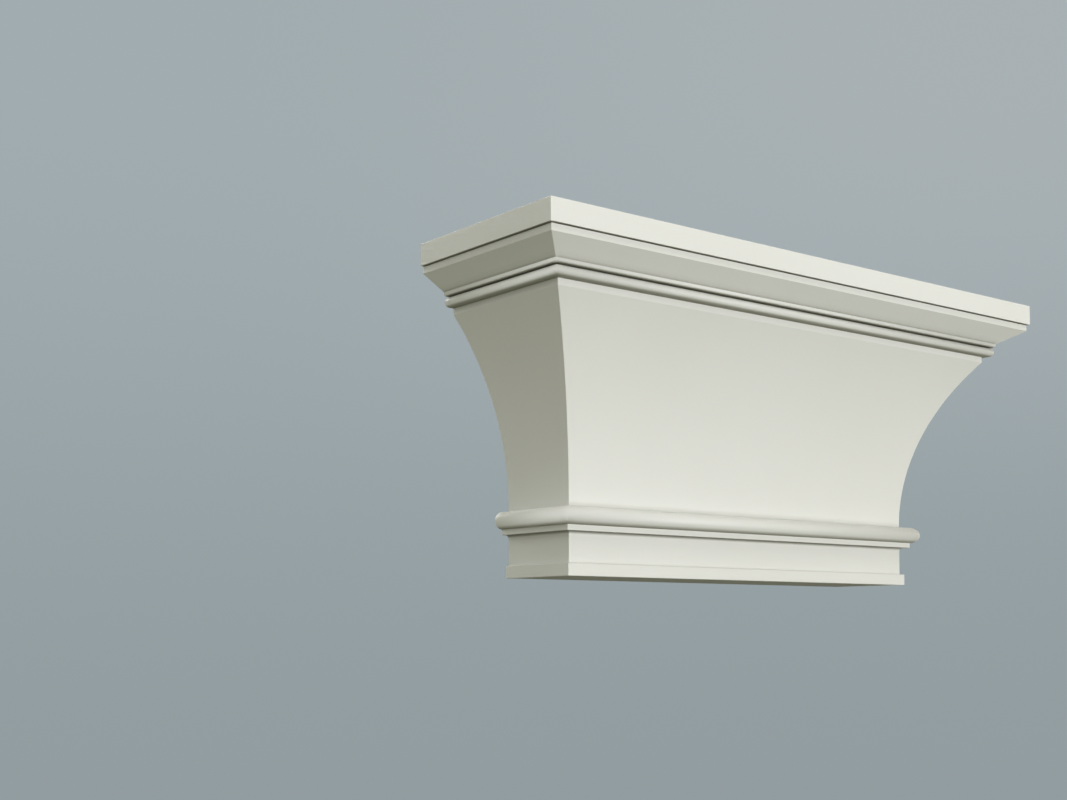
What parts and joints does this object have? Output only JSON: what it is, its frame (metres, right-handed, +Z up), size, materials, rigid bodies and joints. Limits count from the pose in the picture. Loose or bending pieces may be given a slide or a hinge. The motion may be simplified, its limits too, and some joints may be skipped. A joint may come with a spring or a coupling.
{
  "type": "pilaster capital",
  "caption": "Plain moulded pilaster capital: flat slab over a chamfer and bead, a hollow-curved bell, a torus and a square foot, with a flat back to fix to a wall.",
  "frame": {"origin": "centre of the flat underside, which sits on the pilaster's shaft", "axes": "+X runs along the wall to the right as seen from the front, +Y goes into the wall (the front faces -Y), +Z is up"},
  "size_m": [0.437, 0.125, 0.1987],
  "materials": {
    "satin_paint": "factory-primed rigid foam moulding, smooth warm off-white satin paint, crisp arrises"
  },
  "bodies": {
    "root": {"capital": "satin_paint"}
  },
  "joints": []
}
